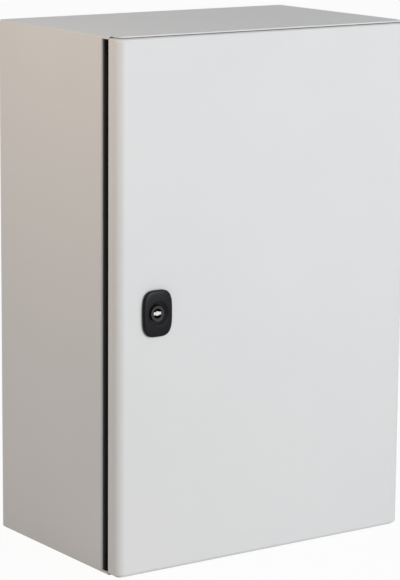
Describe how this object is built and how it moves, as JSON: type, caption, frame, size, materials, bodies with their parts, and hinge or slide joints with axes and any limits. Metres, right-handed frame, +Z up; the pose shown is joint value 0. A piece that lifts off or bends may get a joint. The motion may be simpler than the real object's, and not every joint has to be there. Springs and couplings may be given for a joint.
{
  "type": "wall enclosure",
  "caption": "Sheet-steel wall enclosure for control gear, with a hinged door, concealed hinges, a quarter-turn latch, a mounting plate and a blank gland plate.",
  "frame": {"origin": "centre of the four wall-fixing holes, on the outside of the back", "axes": "+Z up; -Y out of the door, so the wall is on the +Y side; +X to the right of someone facing the door, where the hinges are"},
  "size_m": [0.4, 0.2548, 0.6],
  "materials": {
    "powder_coat": "light-grey fine-textured powder coat on steel sheet",
    "galvanised_sheet": "hot-dip galvanised sheet, small dull spangle",
    "zinc_plated": "bright zinc plating on steel fasteners, hinges and cam",
    "nickel_zinc": "nickel-plated zinc die casting and turned pins",
    "black_polyamide": "black moulded polyamide, glossy",
    "black_zinc": "black-passivated zinc die casting, satin",
    "black_rubber": "black closed-cell rubber, matt",
    "foamed_seal": "dark foamed-in-place polyurethane, matt skin"
  },
  "bodies": {
    "cabinet": {"body_shell": "powder_coat", "rim_seal": "black_rubber", "mounting_plate": "galvanised_sheet", "plate_studs": "zinc_plated", "plate_spacers": "zinc_plated", "plate_washers": "zinc_plated", "plate_nuts": "zinc_plated", "gland_gasket": "black_rubber", "gland_plate": "powder_coat", "gland_studs": "zinc_plated", "gland_nuts": "zinc_plated", "body_earth_stud": "nickel_zinc", "body_earth_nut": "zinc_plated", "upper_hinge_bracket": "zinc_plated", "lower_hinge_bracket": "zinc_plated", "hinge_bracket_screws": "zinc_plated", "upper_hinge_pin": "nickel_zinc", "lower_hinge_pin": "nickel_zinc"},
    "door": {"door_panel": "powder_coat", "door_gasket": "foamed_seal", "left_door_rail": "powder_coat", "right_door_rail": "powder_coat", "upper_hinge_leaf": "zinc_plated", "lower_hinge_leaf": "zinc_plated", "hinge_leaf_studs": "zinc_plated", "hinge_leaf_nuts": "zinc_plated", "door_earth_stud": "nickel_zinc", "door_earth_nut": "zinc_plated", "lock_housing": "black_polyamide", "lock_gasket": "black_rubber", "lock_nut": "nickel_zinc"},
    "latch": {"lock_insert": "black_zinc", "key_post": "nickel_zinc", "lock_cam": "zinc_plated", "cam_washer": "zinc_plated", "cam_screw": "zinc_plated"}
  },
  "joints": [
    {"name": "door_hinge", "type": "hinge", "parent": "cabinet", "child": "door", "pos_m": [0.194, -0.23, 0], "axis": [0, 0, 1], "range_deg": [0, 120]},
    {"name": "latch_turn", "type": "hinge", "parent": "door", "child": "latch", "pos_m": [-0.15, -0.25, -0.004], "axis": [0, 1, 0], "range_deg": [0, 90]}
  ]
}
